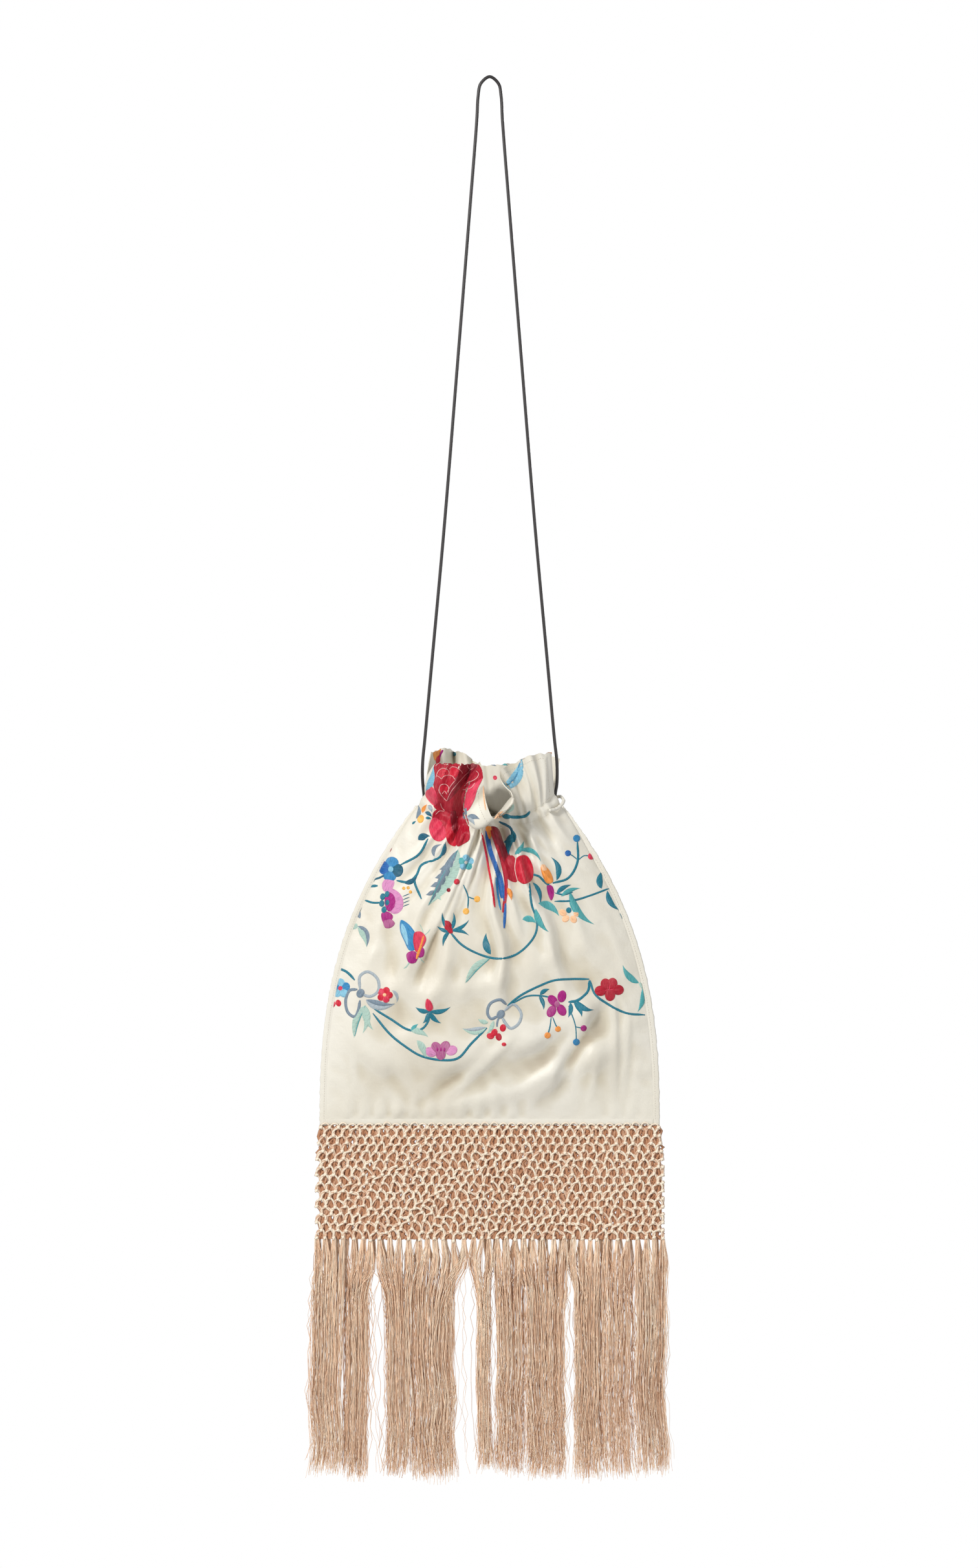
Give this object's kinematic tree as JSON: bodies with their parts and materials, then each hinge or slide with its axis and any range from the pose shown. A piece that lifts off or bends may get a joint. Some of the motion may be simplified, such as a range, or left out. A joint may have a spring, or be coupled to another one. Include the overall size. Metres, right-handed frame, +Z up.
{
  "type": "silk drawstring handbag with a fringe",
  "caption": "An ivory silk drawstring pouch, embroidered with flowers in the manner of a shawl, hangs from a black cord and ends in a knotted net and a long silk fringe.",
  "frame": {"origin": "the point the bag hangs on: the inside of the cord loop's top bend", "axes": "+Z up, the front faces -Y, +X to the right as seen from the front"},
  "size_m": [0.2815, 0.0842, 1.0851],
  "materials": {
    "silk": "ivory plain-weave silk with a soft sheen, embroidered in coloured floss",
    "netting": "knotted peach-beige silk thread",
    "fringe": "loose peach-beige silk strands with a sheen",
    "cord": "smooth round black cord"
  },
  "bodies": {
    "root": {"silk_front": "silk", "silk_back": "silk", "side_seam_left": "silk", "side_seam_right": "silk", "bottom_seam": "silk", "casing_front": "silk", "casing_back": "silk", "cord_keeper": "silk", "drawstring": "cord", "strap_cord": "cord", "net_front": "netting", "net_back": "netting", "fringe_front": "fringe", "fringe_back": "fringe"}
  },
  "joints": []
}
